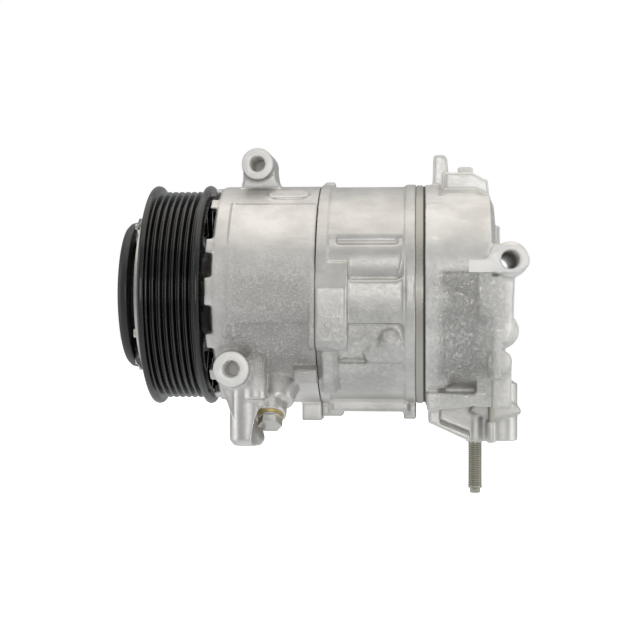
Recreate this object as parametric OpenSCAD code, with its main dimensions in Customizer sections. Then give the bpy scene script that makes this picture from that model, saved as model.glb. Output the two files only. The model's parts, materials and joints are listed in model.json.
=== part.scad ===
// Variable-displacement swash-plate refrigerant compressor with a 7-groove belt pulley.
// Frame: +X along the shaft toward the rear housing, +Z up, -Y the side the mounting ears face.
// Origin: shaft axis, in the belt centre plane of the pulley. Millimetres.

/* [Pulley and hub] */
// Outside diameter of the pulley rims
rim_od = 125; // [115:0.5:135]
// Outside diameter over the rib tips
groove_od = 118; // [110:0.5:122]
// Number of belt grooves
groove_n = 7; // [6:1:7]
// Groove pitch of the PK profile
groove_pitch = 3.56; // [3.5:0.01:3.6]
// Depth of each groove
groove_depth = 3.2; // [2.4:0.1:3.6]
// Axial length of the pulley
pulley_len = 34; // [32:0.5:36]
// Outer radius of the black hub cover
cover_r = 41.5; // [38:0.5:43]

/* [Shaft and bearings] */
// Shaft radius
shaft_r = 10; // [9:0.25:10]
// Radius of the front nose that carries the pulley bearing
nose_r = 20; // [20:0.5:20]
// Outer radius of the pulley bearing
pb_ro = 31; // [31:0.5:31]
// Balls in each row of the pulley bearing
pb_balls = 16; // [12:1:17]
// Ball radius of the pulley bearing
pb_ball_r = 3.175; // [3:0.025:3.2]
// Needles in each radial needle bearing
needle_n = 18; // [14:1:20]
// Rollers in each thrust bearing
thrust_n = 24; // [16:1:24]

/* [Housings] */
// Outer radius of the front housing
body_r = 61.5; // [60:0.5:62]
// Joint plane between front housing and cylinder block
seam_x = 79; // [78:0.5:80]
// Rear face of the cylinder block
block_end = 132; // [131:0.5:133]
// Front face of the rear housing
rear_x = 137; // [136.5:0.5:138]
// Rear face of the rear housing drum
rear_end = 175; // [173:0.5:177]
// Circle radius of the through bolts
bolt_pcr = 54; // [53.5:0.5:54.5]
// Through bolt shank radius
bolt_r = 3; // [2.5:0.25:3]

/* [Pumping parts] */
// Number of cylinders
cyl_n = 7; // [7:1:7]
// Cylinder bore radius
bore_r = 15; // [14:0.25:15]
// Radial running clearance of a piston
piston_clear = 0.03; // [0.02:0.01:0.05]
// Radius of the circle the cylinder axes lie on
cyl_pcr = 40; // [39.5:0.25:40.5]
// Swash plate radius
swash_r = 47; // [45:0.5:47]
// Swash plate thickness
swash_t = 7; // [6:0.5:8]
// Radius of the sphere the two shoes of a piston make up
shoe_r = 7.6; // [7:0.1:7.8]

/* [Mounting] */
// Tapped bore radius of the top front ear, M10
ear_top_r = 4.25; // [4:0.05:4.5]
// Tapped bore radius of the lower front ear, M10
ear_low_r = 4.25; // [4:0.05:4.5]
// Bore radius of the rear ear
ear_rear_r = 5; // [4.25:0.05:5.5]
// Suction port bore radius
suction_r = 8; // [7:0.25:9]
// Discharge port bore radius
discharge_r = 6.5; // [6.25:0.25:7]

/* [Hidden] */
$fn = 64;
cyl_step = 360 / cyl_n;
// first cylinder and first bolt, angles from +Z toward -Y
cyl_a0 = 15.1;
bolt_a0 = cyl_a0 + cyl_step / 2;
swash_x = 80;
swash_x0 = swash_x - swash_t / 2;
swash_x1 = swash_x + swash_t / 2;
pulley_x0 = -pulley_len / 2;
pulley_x1 = pulley_len / 2;
rim_r = rim_od / 2;
rib_r = groove_od / 2;
rib_span = groove_n * groove_pitch;
pb_pitch = 25.5;
valve_x0 = block_end + 0.4;
valve_x1 = rear_x - 1.0;
valve_z = 58.5;
valve_x = 160;
// spots in the XZ plane where the mounting ears' bores run
ear_top_x = 43.5;
ear_top_z = 72.7;
ear_low_x = 33.8;
ear_low_z = -40.8;
ear_rear_x = 181.8;
ear_rear_z = 17.3;
// oil filler plug: angle from +Z, place along the shaft, radius of its seat
plug_a = 146;
plug_x = 53.5;
plug_seat = 80;
// underside of the port block, and the things that open there
port_z = -83;
stud_x = 165.3;
stud_r = 4;
stud_root_r = 3.8;
pin_x = 173.7;
pin_y = -13;
pin_r = 1.6;
suction_x = 169;
suction_y = 30;
discharge_x = 180;
discharge_y = 2;
check_r = 6;
relief_z = -8;

// a point at radius r and angle a (from +Z toward -Y) for a shape extruded along X
function pt(r, a) = [-r * cos(a), -r * sin(a)];

// cylinder along X
module xcyl(r, x0, x1) {
    translate([x0, 0, 0])
        rotate([0, 90, 0])
            cylinder(r = r, h = x1 - x0);
}

// ring along X
module xring(ro, ri, x0, x1) {
    difference() {
        xcyl(ro, x0, x1);
        xcyl(ri, x0 - 1, x1 + 1);
    }
}

// cylinder along Y
module ycyl(x, z, r, y0, y1) {
    translate([x, y0, z])
        rotate([-90, 0, 0])
            cylinder(r = r, h = y1 - y0);
}

// cylinder along Z
module zcyl(x, y, r, z0, z1) {
    translate([x, y, z0])
        cylinder(r = r, h = z1 - z0);
}

// turned shape about the shaft axis from [radius, x] points
module lathe(pts) {
    rotate([0, 90, 0])
        rotate_extrude()
            polygon(pts);
}

// places a shape at angle a (from +Z toward -Y) with its local Z pointing outward
module at(a, r, x) {
    rotate([a, 0, 0])
        translate([x, 0, r])
            children();
}

// box given by its limits
module box(x0, x1, y0, y1, z0, z1) {
    translate([x0, y0, z0])
        cube([x1 - x0, y1 - y0, z1 - z0]);
}

// part of a ring between two angles, less than 150 degrees apart
module sector(r0, r1, a0, a1, x0, x1) {
    far = 2.6 * r1;
    intersection() {
        xring(r1, r0, x0, x1);
        translate([x0 - 1, 0, 0])
            rotate([0, 90, 0])
                linear_extrude(height = x1 - x0 + 2)
                    polygon([[0, 0], pt(far, a0), pt(far, (2 * a0 + a1) / 3),
                        pt(far, (a0 + 2 * a1) / 3), pt(far, a1)]);
    }
}

// plate with its outline in the XZ plane, between two Y limits
module xz_plate(pts, y0, y1) {
    translate([0, y1, 0])
        rotate([90, 0, 0])
            linear_extrude(height = y1 - y0)
                polygon(pts);
}

// plate with its outline in the XY plane, between two Z limits
module xy_plate(pts, z0, z1) {
    translate([0, 0, z0])
        linear_extrude(height = z1 - z0)
            polygon(pts);
}

// plate with its outline in the YZ plane, between two X limits
module yz_plate(pts, x0, x1) {
    translate([x0, 0, 0])
        rotate([0, 90, 0])
            linear_extrude(height = x1 - x0)
                polygon([for (p = pts) [-p[1], p[0]]]);
}

// helical spring of round wire about Z, starting at z = 0
module coil(r, wire, pitch, turns) {
    stretch = 2 * PI * r / pitch;
    linear_extrude(height = pitch * turns, twist = -360 * turns, slices = round(turns * 16), $fn = 8)
        polygon([for (i = [0 : 15])
            let (t = 22.5 * i, a = wire * stretch * sin(t) / r * 180 / PI)
            [(r + wire * cos(t)) * cos(a), (r + wire * cos(t)) * sin(a)]]);
}

// ---------------------------------------------------------------- front housing

nub_angles = [12, 35, 65, 88, 115.6, 138, 161, 187, 213, 239, 265, 291, 317, 343];

module front_shell() {
    lathe([[0, -14], [19.2, -14], [nose_r, -13.2], [nose_r, 10], [24, 10], [26, 16], [32, 22.5],
        [59.5, 22.5], [body_r, 24.5], [body_r, seam_x], [0, seam_x]]);
}

module front_ear_top() {
    // short tube, a web under it and the foot that spreads on the body
    ycyl(ear_top_x, ear_top_z, 9, -22, 10);
    xz_plate([[27, 50], [33, 57], [34.6, 64], [35.2, 74], [51.8, 74], [53.5, 64], [58, 57],
        [65, 50]], -17, 9);
}

module front_ear_low() {
    ycyl(ear_low_x, ear_low_z, 10, -60, -30);
    xz_plate([[24.5, -45], [31, -60], [34, -70], [50, -70], [50, -34], [30, -32]], -52, -30);
    // round-ended column below the ear
    zcyl(41, -45, 9.7, -79.6, -36);
    translate([41, -45, -82.6])
        cylinder(r1 = 7.2, r2 = 9.7, h = 3.0);
    // rounded ridge between the ear and the body
    zcyl(46, -51.5, 6, -57, -37);
    translate([46, -51.5, -37])
        sphere(r = 6);
}

// raised pad across the joint of the front housing and the cylinder block
module seam_pad(x0, x1, lip0, lip1) {
    yz_plate([[-59.4, 16.4], [-63.6, 3.4], [-63.6, -28.6], [-59, -31], [-56, -31], [-56, 16.4]],
        x0, x1);
    yz_plate([[-59.8, 15.2], [-64.6, 2.2], [-64.6, -26.8], [-56, -26.8], [-56, 15.2]],
        x0 + lip0, x1 - lip1);
}

module front_outer_details() {
    // raised panel on the side, with a thin bead along its front edge
    sector(60, 62.3, 38, 105, 34, 77);
    sector(59, 62.9, 37.4, 105.6, 31.8, 33.6);
    sector(59, 62.9, 105, 113, 29.4, 31.4);
    sector(59, 62.9, 105, 113, 34, 36);
    // oval pad on top
    at(28.5, 58.5, 62) {
        translate([-6, 0, 0])
            cylinder(r = 5.2, h = 4.6);
        translate([6, 0, 0])
            cylinder(r = 5.2, h = 4.6);
        translate([-6, -5.2, 0])
            cube([12, 10.4, 4.6]);
    }
    seam_pad(75.2, seam_x, 1.2, 0);
    // flat-topped pad at the joint
    yz_plate([[-45, -36.8], [-52.4, -41.4], [-52.4, -48.7], [-36, -48.7], [-36, -36.8]], 66.5, seam_x);
    // bottom joint lug
    box(67.5, seam_x, -10, 8, -71.5, -52);
    // boss for the oil plug, on a wider root
    at(plug_a, 50, plug_x)
        cylinder(r = 8.6, h = plug_seat - 50);
    at(plug_a, 50, plug_x + 3)
        cylinder(r1 = 15, r2 = 8.8, h = 22);
    for (a = nub_angles)
        at(a, 0, 0)
            translate([19.5, -4.2, 55])
                cube([4, 8.4, 5.6]);
    at(88, 0, 0)
        translate([19.3, -9, 55])
            cube([4, 15, 5.8]);
}

module front_housing() {
    color([0.78, 0.79, 0.80])
        difference() {
            union() {
                difference() {
                    union() {
                        front_shell();
                        front_ear_top();
                        front_ear_low();
                        front_outer_details();
                    }
                    // crankcase, leaving the pads the through bolts pass through
                    difference() {
                        xcyl(55, 41.5, seam_x + 1);
                        for (i = [0 : cyl_n - 1])
                            at(bolt_a0 + i * cyl_step, bolt_pcr, 0)
                                xcyl(5.2, 40, seam_x + 2);
                    }
                    xcyl(30, 33, 60);
                }
            }
            // nose bore: seal, snap ring groove, needle bearing seat, shaft clearance
            xcyl(14, -15, 9);
            xcyl(15, -2.1, -0.6);
            xcyl(13, 8, 28);
            xcyl(10.8, 27, 34);
            // snap ring groove of the pulley bearing
            xring(22, 18.8, -11.7, -10.1);
            // seam groove for the ring seal
            xring(60.3, 58.0, seam_x - 1.6, seam_x + 1);
            // through bolt holes and head pockets
            for (i = [0 : cyl_n - 1])
                at(bolt_a0 + i * cyl_step, bolt_pcr, 0) {
                    xcyl(bolt_r + 0.3, 20, seam_x + 1);
                    xcyl(5.4, 15, 28.6);
                }
            ycyl(ear_top_x, ear_top_z, ear_top_r, -30, 4);
            ycyl(ear_low_x, ear_low_z, ear_low_r, -70, -38);
            // tapped oil hole and the room a socket needs around the plug
            at(plug_a, 40, plug_x)
                cylinder(r = 4.6, h = 50);
            at(plug_a, plug_seat, plug_x)
                cylinder(r = 9.4, h = 20);
        }
}

// ---------------------------------------------------------------- cylinder block

// angles of the raised lands between the cylinder barrels
land_spans = [[-40, 60.5], [83, 106], [129, 170], [180, 215], [232, 262], [284, 316]];
land_r = 61;

module block_outer() {
    xcyl(57, seam_x, 96.5);
    xcyl(50, 96, block_end);
    // flanges with sloping inner sides
    lathe([[45, seam_x], [62.3, seam_x], [62.3, 84.5], [58, 87.5], [45, 87.5]]);
    lathe([[45, 123.5], [58, 123.5], [62.3, 126.5], [62.3, block_end], [45, block_end]]);
    for (i = [0 : cyl_n - 1])
        at(cyl_a0 + i * cyl_step, cyl_pcr, 0)
            xcyl(20.5, 82, 128);
    // broad lands over the through bolts
    for (span = land_spans)
        sector(48, land_r, span[0], span[1], 84.5, 127);
    seam_pad(seam_x, 96, 0, 1.4);
    // swollen pillar that runs down from the seam pad
    intersection() {
        lathe([[54, 79.4], [61.8, 79.4], [65, 82.4], [65, 87], [62, 90.4], [54, 92]]);
        sector(50, 70, 107, 149, 78, 93);
    }
    // ledge along the bottom with a lug at each end
    box(84, 128, -16, 10, -66, -50);
    box(seam_x, 90.5, -10, 8, -69, -52);
    box(125, block_end, -14, 10, -70, -50);
    // round-ended side boss along the shaft direction, with a knob on it
    at(123, 56, 0) {
        xcyl(7.6, 110, 126);
        translate([110, 0, 0])
            sphere(r = 7.6);
    }
    translate([118.5, -50.5, -25])
        sphere(r = 8);
    // top bump at the joint
    at(-2, 59, 0)
        xcyl(5.4, 80, 86);
}

module cylinder_block() {
    color([0.76, 0.77, 0.78])
        difference() {
            block_outer();
            // skirt around the piston bridges
            difference() {
                xcyl(55.5, seam_x - 1, 94);
                for (i = [0 : cyl_n - 1])
                    at(bolt_a0 + i * cyl_step, bolt_pcr, 0)
                        xcyl(5.2, seam_x - 2, 95);
            }
            for (i = [0 : cyl_n - 1]) {
                at(cyl_a0 + i * cyl_step, cyl_pcr, 0)
                    xcyl(bore_r, 90, block_end + 1);
                at(bolt_a0 + i * cyl_step, bolt_pcr, 0)
                    xcyl(bolt_r + 0.3, seam_x - 1, block_end + 1);
            }
            // creases beside the lands
            at(62.4, 61.6, 0)
                xcyl(3, 89.6, 122.8);
            at(80.4, 62.6, 0)
                xcyl(4.4, 97.4, 122.8);
            // seat of the rear needle bearing, thrust bearing and adjuster
            xcyl(13, 93, 113);
            xcyl(17, 113, block_end + 1);
        }
}

// ---------------------------------------------------------------- valve plate pack

module plate_bolt_holes(x0, x1) {
    for (i = [0 : cyl_n - 1])
        at(bolt_a0 + i * cyl_step, bolt_pcr, 0)
            xcyl(bolt_r + 0.3, x0 - 1, x1 + 1);
}

module suction_reed_plate() {
    color([0.30, 0.31, 0.33])
        difference() {
            xcyl(61.2, block_end, valve_x0);
            plate_bolt_holes(block_end, valve_x0);
            // slots around each suction tongue, and the discharge hole beside it
            for (i = [0 : cyl_n - 1])
                at(cyl_a0 + i * cyl_step, 0, 0) {
                    translate([block_end - 1, -7.2, 36])
                        cube([3, 1.4, 15]);
                    translate([block_end - 1, 5.8, 36])
                        cube([3, 1.4, 15]);
                    translate([block_end - 1, -7.2, 50])
                        cube([3, 14.4, 1.4]);
                    translate([0, 0, 31.5])
                        xcyl(3.6, block_end - 1, valve_x0 + 1);
                }
        }
}

module valve_plate() {
    color([0.36, 0.37, 0.38])
        difference() {
            xcyl(61.8, valve_x0, valve_x1 - 0.4);
            plate_bolt_holes(valve_x0, valve_x1);
            for (i = [0 : cyl_n - 1])
                at(cyl_a0 + i * cyl_step, 0, 0) {
                    // suction port and discharge port of one cylinder
                    translate([0, 0, 44.5])
                        xcyl(4.2, valve_x0 - 1, valve_x1 + 1);
                    translate([0, 0, 31.5])
                        xcyl(3.2, valve_x0 - 1, valve_x1 + 1);
                }
        }
}

module discharge_reed_plate() {
    color([0.45, 0.46, 0.48])
        difference() {
            xcyl(61.2, valve_x1 - 0.4, valve_x1);
            plate_bolt_holes(valve_x1 - 0.4, valve_x1);
            for (i = [0 : cyl_n - 1])
                at(cyl_a0 + i * cyl_step, 0, 0) {
                    translate([0, 0, 44.5])
                        xcyl(4.6, valve_x1 - 2, valve_x1 + 1);
                    // slots around the discharge tongue
                    translate([valve_x1 - 2, -5.2, 20])
                        cube([3, 1.2, 16]);
                    translate([valve_x1 - 2, 4, 20])
                        cube([3, 1.2, 16]);
                    translate([valve_x1 - 2, -5.2, 35])
                        cube([3, 10.4, 1.2]);
                }
        }
}

module retainer_gasket() {
    color([0.20, 0.20, 0.20])
        difference() {
            xcyl(61.2, valve_x1, rear_x);
            plate_bolt_holes(valve_x1, rear_x);
            for (i = [0 : cyl_n - 1])
                at(cyl_a0 + i * cyl_step, 0, 0) {
                    translate([0, 0, 44.5])
                        xcyl(5, valve_x1 - 1, rear_x + 1);
                    // opening above the discharge tongue, leaving the lift stop
                    translate([valve_x1 - 1, -6.2, 18])
                        cube([4, 3.2, 15]);
                    translate([valve_x1 - 1, 3, 18])
                        cube([4, 3.2, 15]);
                }
        }
}

module seam_o_ring() {
    color([0.10, 0.10, 0.11])
        xring(60.2, 58.1, seam_x - 1.5, seam_x);
}

// ---------------------------------------------------------------- rear housing

// shape taken out of the drum for the recessed side panel
module panel_recess(a0, a1, x1) {
    intersection() {
        lathe([[57, 148], [57, x1], [66, x1 + 5], [66, 143]]);
        sector(50, 70, a0, a1, 140, 176);
    }
}

module rear_outer() {
    difference() {
        lathe([[0, rear_x], [62, rear_x], [62, 144], [60.2, 146], [60.2, 165], [57, 172],
            [51, rear_end], [0, rear_end]]);
        panel_recess(80, 104, 164);
        panel_recess(103, 157, 169);
    }
    // scalloped bolt bosses that taper off behind
    for (i = [0 : cyl_n - 1])
        at(bolt_a0 + i * cyl_step, bolt_pcr, 0) {
            xcyl(8.6, rear_x + 0.8, 147.5);
            translate([147.5, 0, 0])
                rotate([0, 90, 0])
                    cylinder(r1 = 8.6, r2 = 5.5, h = 4);
        }
    // upright tab
    xz_plate([[140.6, 40], [141.7, 77.5], [142.6, 78.5], [147.6, 78.5], [149.4, 76.3],
        [150.3, 66], [150.3, 40]], -9, 9);
    // block around the control valve
    xz_plate([[148, 40], [148, 67.8], [163.3, 67.8], [166.7, 65.8], [171.8, 63.3], [172.5, 56],
        [172.5, 40]], -16, 34);
    // oval ridge on the upper side
    at(30.5, 58, 157) {
        translate([-6.2, 0, 0])
            cylinder(r = 3.2, h = 4.4);
        translate([6.2, 0, 0])
            cylinder(r = 3.2, h = 4.4);
        translate([-6.2, -3.2, 0])
            cube([12.4, 6.4, 4.4]);
    }
    // step on the end cover
    box(170, 177.8, -30, 20, 24.5, 37);
    // smooth side cheek above the panel, with a thin bead along its front and lower edges
    sector(52, 62.2, 30, 80, 144, 172.5);
    sector(59, 62.9, 62.6, 86.4, 142, 143.3);
    sector(59, 62.9, 77.6, 79.3, 143, 170);
    // upright blocks behind the panel, their faces turned a little toward the front
    xy_plate([[164.6, -48], [173.4, -56], [177.5, -56], [177.5, -20], [164.6, -20]], -15.6, 8.4);
    xy_plate([[170.4, -49], [173.4, -55], [177.5, -55], [177.5, -20], [170.4, -20]], -46, -15);
    // ledge under the panel, ending in a small ball
    xz_plate([[137.8, -54], [137.8, -64], [158, -62.5], [172, -60], [173, -57], [172, -55]],
        -34, 34);
    translate([173.8, -33, -56.5])
        sphere(r = 2.4);
}

module rear_ear() {
    // long tube through the whole width, and the web under it
    ycyl(ear_rear_x, ear_rear_z, 9.6, -58, 60);
    // flat-sided pad at the near end
    xz_plate([[169.5, 17.1], [171.9, 24], [174, 25.3], [185.6, 25.3], [189.9, 22.4],
        [192, 17.7], [191.5, 14], [187.2, 10.3], [174.5, 9.7], [171.4, 12.4]], -60, -53);
    xz_plate([[165, 26], [183, 26], [188, 17], [182.8, 6], [181.4, -24], [165, -24]], -50, 50);
    // round boss under the ear, and the arm that joins them
    ycyl(177.4, -20.4, 9.8, -46, 40);
    xz_plate([[174, 8], [177, 11], [184.5, 11], [183.5, -22], [181, -26.5], [177.5, -26.5],
        [175, -22]], -55, -40);
    // foot with a rounded top
    ycyl(176.8, -37, 6.6, -52, 46);
    xz_plate([[165, -28], [172, -28], [183, -40], [183, -62], [165, -62]], -34, 46);
    xz_plate([[173, -34], [177, -34], [183, -40], [183, -62], [173, -62]], -50, -30);
}

module port_block() {
    // hollow arm that slopes down to the stud boss
    xz_plate([[138.7, -60], [138.7, -71.7], [141, -72.5], [161.6, -82], [161.6, -78],
        [145, -71.4], [145, -60]], -22, 10);
    xz_plate([[141, -60], [141, -72], [161, -81], [164, -60]], -5, 10);
    zcyl(stud_x, 0, 5.4, port_z - 0.5, -60);
    box(stud_x, 176, -4, 10, port_z, -62);
    // connecting block behind the stud with both ports
    box(159.5, 189, 12, 43, port_z, -50);
    box(168, 187, 0, 20, port_z, -50);
    zcyl(discharge_x, discharge_y, 9.4, port_z, -50);
    // upper flange of the block
    xz_plate([[162, -66], [175, -70.5], [190.5, -67.5], [190.5, -64], [184, -60], [165, -60]],
        -10, 43);
    // sleeve of the guide pin
    zcyl(pin_x, pin_y, 2.9, port_z - 0.2, -71);
    box(pin_x - 2, pin_x + 2, pin_y, 0, port_z + 0.4, -71.6);
}

module rear_housing() {
    color([0.80, 0.80, 0.79])
        difference() {
            union() {
                rear_outer();
                rear_ear();
                port_block();
            }
            // discharge chamber in the middle, suction chamber around it
            xcyl(36.5, rear_x - 1, 158);
            difference() {
                xring(49, 40, rear_x - 1, 153);
                for (i = [0 : cyl_n - 1])
                    at(bolt_a0 + i * cyl_step, bolt_pcr, 0)
                        xcyl(7.4, rear_x - 2, 154);
            }
            // tapped holes of the through bolts
            for (i = [0 : cyl_n - 1])
                at(bolt_a0 + i * cyl_step, bolt_pcr, 0)
                    xcyl(bolt_r, rear_x - 1, 150);
            // mounting bore
            ycyl(ear_rear_x, ear_rear_z, ear_rear_r, -70, 70);
            // control valve bore, entered from the far side
            ycyl(valve_x, valve_z, 8, 4, 60);
            ycyl(valve_x, valve_z, 6.5, -10.5, 5);
            ycyl(valve_x, valve_z, 11.3, 34, 70);
            // control passages from the valve bore to both chambers
            zcyl(156.3, -7, 1.2, 30, valve_z);
            zcyl(151, 0.6, 1.2, 44, valve_z);
            translate([0, 0.6, valve_z])
                xcyl(1.2, 151, valve_x);
            // suction port up and across to the outer chamber
            zcyl(suction_x, suction_y, suction_r, port_z - 2, -65);
            zcyl(suction_x, suction_y, 6.5, -66, -38);
            translate([0, suction_y, -38])
                xcyl(6.4, 148, suction_x);
            // discharge port, seat of the check valve and passage to the inner chamber
            zcyl(discharge_x, discharge_y, discharge_r, port_z - 2, -67);
            zcyl(discharge_x, discharge_y, check_r, -68, -50);
            zcyl(discharge_x, discharge_y, 3.5, -60, -31);
            translate([0, discharge_y, -31])
                xcyl(3.4, 150, discharge_x);
            // tapped hole of the stud, holes at both ends of the guide pin
            zcyl(stud_x, 0, stud_root_r, port_z - 2, -62);
            zcyl(pin_x, pin_y, pin_r, -73, -58);
            // relief valve hole into the discharge chamber, with room around its head
            translate([0, 0, relief_z]) {
                xcyl(6, 156, rear_end + 1);
                xcyl(9, rear_end, 194);
            }
        }
}

// ---------------------------------------------------------------- fasteners and small outside parts

module through_bolts() {
    color([0.62, 0.62, 0.60])
        for (i = [0 : cyl_n - 1])
            at(bolt_a0 + i * cyl_step, bolt_pcr, 0)
                difference() {
                    union() {
                        xcyl(5, 22.8, 28.6);
                        xcyl(bolt_r, 28.6, 149);
                    }
                    translate([22, 0, 0])
                        rotate([0, 90, 0])
                            cylinder(r = 2.9, h = 3.8, $fn = 6);
                }
}

module oil_plug() {
    color([0.70, 0.69, 0.62])
        at(plug_a, plug_seat, plug_x) {
            translate([0, 0, -10])
                cylinder(r = 4.6, h = 12);
            translate([0, 0, 1.2])
                cylinder(r = 6.7, h = 1.2);
            translate([0, 0, 2.4])
                cylinder(r = 6.7, h = 4.2, $fn = 6);
        }
}

module oil_plug_washer() {
    color([0.80, 0.68, 0.25])
        at(plug_a, plug_seat, plug_x)
            difference() {
                cylinder(r = 7.2, h = 1.2);
                translate([0, 0, -1])
                    cylinder(r = 4.65, h = 4);
            }
}

module port_stud() {
    color([0.42, 0.42, 0.38]) {
        zcyl(stud_x, 0, stud_root_r, port_z - 1, -63);
        zcyl(stud_x, 0, stud_r, -109, port_z - 0.5);
        translate([stud_x, 0, -110])
            cylinder(r1 = 3, r2 = stud_r, h = 1);
        zcyl(stud_x, 0, 2.9, -112.5, -110);
    }
}

module port_pin() {
    color([0.72, 0.66, 0.45])
        zcyl(pin_x, pin_y, pin_r, -72.5, -58.5);
}

module top_cap() {
    color([0.92, 0.92, 0.90]) {
        zcyl(159.6, -6, 4.3, 67.8, 70.8);
        zcyl(159.6, -6, 3.6, 70.8, 71.4);
    }
}

// ---------------------------------------------------------------- front bearings and seal

module shaft_seal() {
    color([0.12, 0.12, 0.13]) {
        xring(14, 12.6, 0, 9);
        lathe([[12.8, 6], [12.8, 8.6], [11.2, 8.6], [shaft_r + 0.05, 3.6], [shaft_r + 0.05, 2],
            [10.8, 2]]);
    }
}

module seal_snap_ring() {
    color([0.55, 0.55, 0.56])
        difference() {
            xring(14.9, 12.4, -1.95, -0.7);
            box(-3, 0, -2, 2, -16, -10);
        }
}

module bearing_inner_ring() {
    color([0.70, 0.71, 0.72])
        difference() {
            xring(23.9, nose_r, -10, 10);
            for (x = [-4.6, 4.6])
                rotate([0, 90, 0])
                    rotate_extrude()
                        translate([pb_pitch, x])
                            circle(r = pb_ball_r + 0.03);
        }
}

module bearing_outer_ring() {
    color([0.70, 0.71, 0.72])
        difference() {
            xring(pb_ro, 27.1, -10, 10);
            for (x = [-4.6, 4.6])
                rotate([0, 90, 0])
                    rotate_extrude()
                        translate([pb_pitch, x])
                            circle(r = pb_ball_r + 0.03);
        }
}

module bearing_balls() {
    color([0.80, 0.81, 0.82])
        union() {
            difference() {
                union() {
                    xring(26.4, 24.6, 3.2, 8.2);
                    xring(26.4, 24.6, -8.2, -3.2);
                }
                for (i = [0 : pb_balls - 1])
                    rotate([i * 360 / pb_balls, 0, 0])
                        translate([0, 0, pb_pitch]) {
                            translate([4.6, 0, 0])
                                sphere(r = pb_ball_r - 0.05);
                            translate([-4.6, 0, 0])
                                sphere(r = pb_ball_r - 0.05);
                        }
            }
            for (i = [0 : pb_balls - 1])
                rotate([i * 360 / pb_balls, 0, 0])
                    translate([0, 0, pb_pitch]) {
                        translate([4.6, 0, 0])
                            sphere(r = pb_ball_r);
                        translate([-4.6, 0, 0])
                            sphere(r = pb_ball_r);
                    }
        }
}

module bearing_snap_ring() {
    color([0.45, 0.45, 0.46])
        difference() {
            xring(21.6, 18.9, -11.6, -10.15);
            box(-13, -9, -3, 3, -24, -15);
        }
}

module needle_shell(x0, x1) {
    xring(13, 12.5, x0, x1);
    xring(13, 11.2, x0, x0 + 0.8);
    xring(13, 11.2, x1 - 0.8, x1);
}

module needle_cage(x0, x1) {
    xring(11.9, 10.6, x0, x0 + 1.4);
    xring(11.9, 10.6, x1 - 1.4, x1);
    for (i = [0 : needle_n - 1])
        rotate([i * 360 / needle_n, 0, 0])
            translate([0, 0, 11.24])
                xcyl(1.2, x0 + 0.4, x1 - 0.4);
}

module front_needle_shell() {
    color([0.60, 0.61, 0.62])
        needle_shell(12, 28);
}

module front_needle_cage() {
    color([0.75, 0.76, 0.77])
        needle_cage(13, 27);
}

module rear_needle_shell() {
    color([0.60, 0.61, 0.62])
        needle_shell(96, 112);
}

module rear_needle_cage() {
    color([0.75, 0.76, 0.77])
        needle_cage(97, 111);
}

module thrust_cage(x0, x1, r0, r1) {
    mid = (x0 + x1) / 2;
    xring(r0 + 1.2, r0, mid - 0.6, mid + 0.6);
    xring(r1, r1 - 1.2, mid - 0.6, mid + 0.6);
    for (i = [0 : thrust_n - 1])
        rotate([i * 360 / thrust_n, 0, 0])
            translate([mid, 0, r0 + 0.6])
                cylinder(r = (x1 - x0) / 2, h = r1 - r0 - 1.2);
}

module front_thrust_washers() {
    color([0.66, 0.67, 0.68])
        xring(28, 12, 33, 34.5);
}

module front_thrust_cage() {
    color([0.75, 0.76, 0.77])
        thrust_cage(34.53, 37.47, 14.5, 27);
}

module rear_thrust_washers() {
    color([0.66, 0.67, 0.68])
        difference() {
            union() {
                // washer and the threaded adjuster behind it
                xring(16.6, 11, 121.5, 123);
                xring(17, 6, 123, 127);
            }
            translate([125, -10, -1.5])
                cube([3, 20, 3]);
        }
}

module rear_thrust_cage() {
    color([0.75, 0.76, 0.77])
        thrust_cage(119.53, 121.47, 11.5, 16.5);
}

// ---------------------------------------------------------------- rotating group

module shaft() {
    color([0.74, 0.75, 0.77])
        lathe([[0, -30], [5.3, -30], [6, -29.3], [6, -22], [8, -22], [8, -13], [shaft_r, -11],
            [shaft_r, 117], [15.6, 117], [16.3, 117.6], [16.3, 119.5], [9, 119.5], [8.4, 122],
            [4, 122], [4, 40], [0, 40]]);
}

module lug_plate() {
    color([0.50, 0.51, 0.52])
        difference() {
            union() {
                lathe([[shaft_r, 37.5], [27.5, 37.5], [27.5, 41], [29, 42.3], [42, 42.3],
                    [44, 44], [44, 49], [42.5, 50], [19, 50], [17, 53], [shaft_r, 53]]);
                // pair of hinge arms
                xz_plate([[45, 20], [45, 40], [54, 36], [61.5, 33.5], [64.5, 28.5], [61.5, 23], [50, 18]],
                    -15, -8);
                xz_plate([[45, 20], [45, 40], [54, 36], [61.5, 33.5], [64.5, 28.5], [61.5, 23], [50, 18]],
                    8, 15);
                // counterweight
                sector(20, 43, 130, 230, 49, 56);
            }
            xcyl(shaft_r, 30, 60);
            ycyl(59.5, 28, 3, -20, 20);
            for (a = [70, 290])
                at(a, 33, 0)
                    xcyl(4.5, 40, 52);
        }
}

module hinge_pin() {
    color([0.72, 0.73, 0.75])
        ycyl(59.5, 28, 3, -14.5, 14.5);
}

module swash_plate() {
    color([0.62, 0.60, 0.52])
        difference() {
            union() {
                xring(swash_r, 12, swash_x0, swash_x1);
                xring(17.5, 9, 70, 90);
                // arm that reaches the hinge pin
                xz_plate([[55.4, 24.5], [55.4, 31], [58, 32.2], [62.5, 31], [65, 28.4], [79, 28.4],
                    [79, 14], [70, 14], [63, 22]], -7.9, 7.9);
            }
            xcyl(shaft_r + 0.03, 60, 95);
            ycyl(59.5, 28, 3.03, -12, 12);
        }
}

module destroke_spring() {
    color([0.40, 0.40, 0.42])
        translate([54.2, 0, 0])
            rotate([0, 90, 0])
                coil(13, 1.1, 3.7, 3.9);
}

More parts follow.
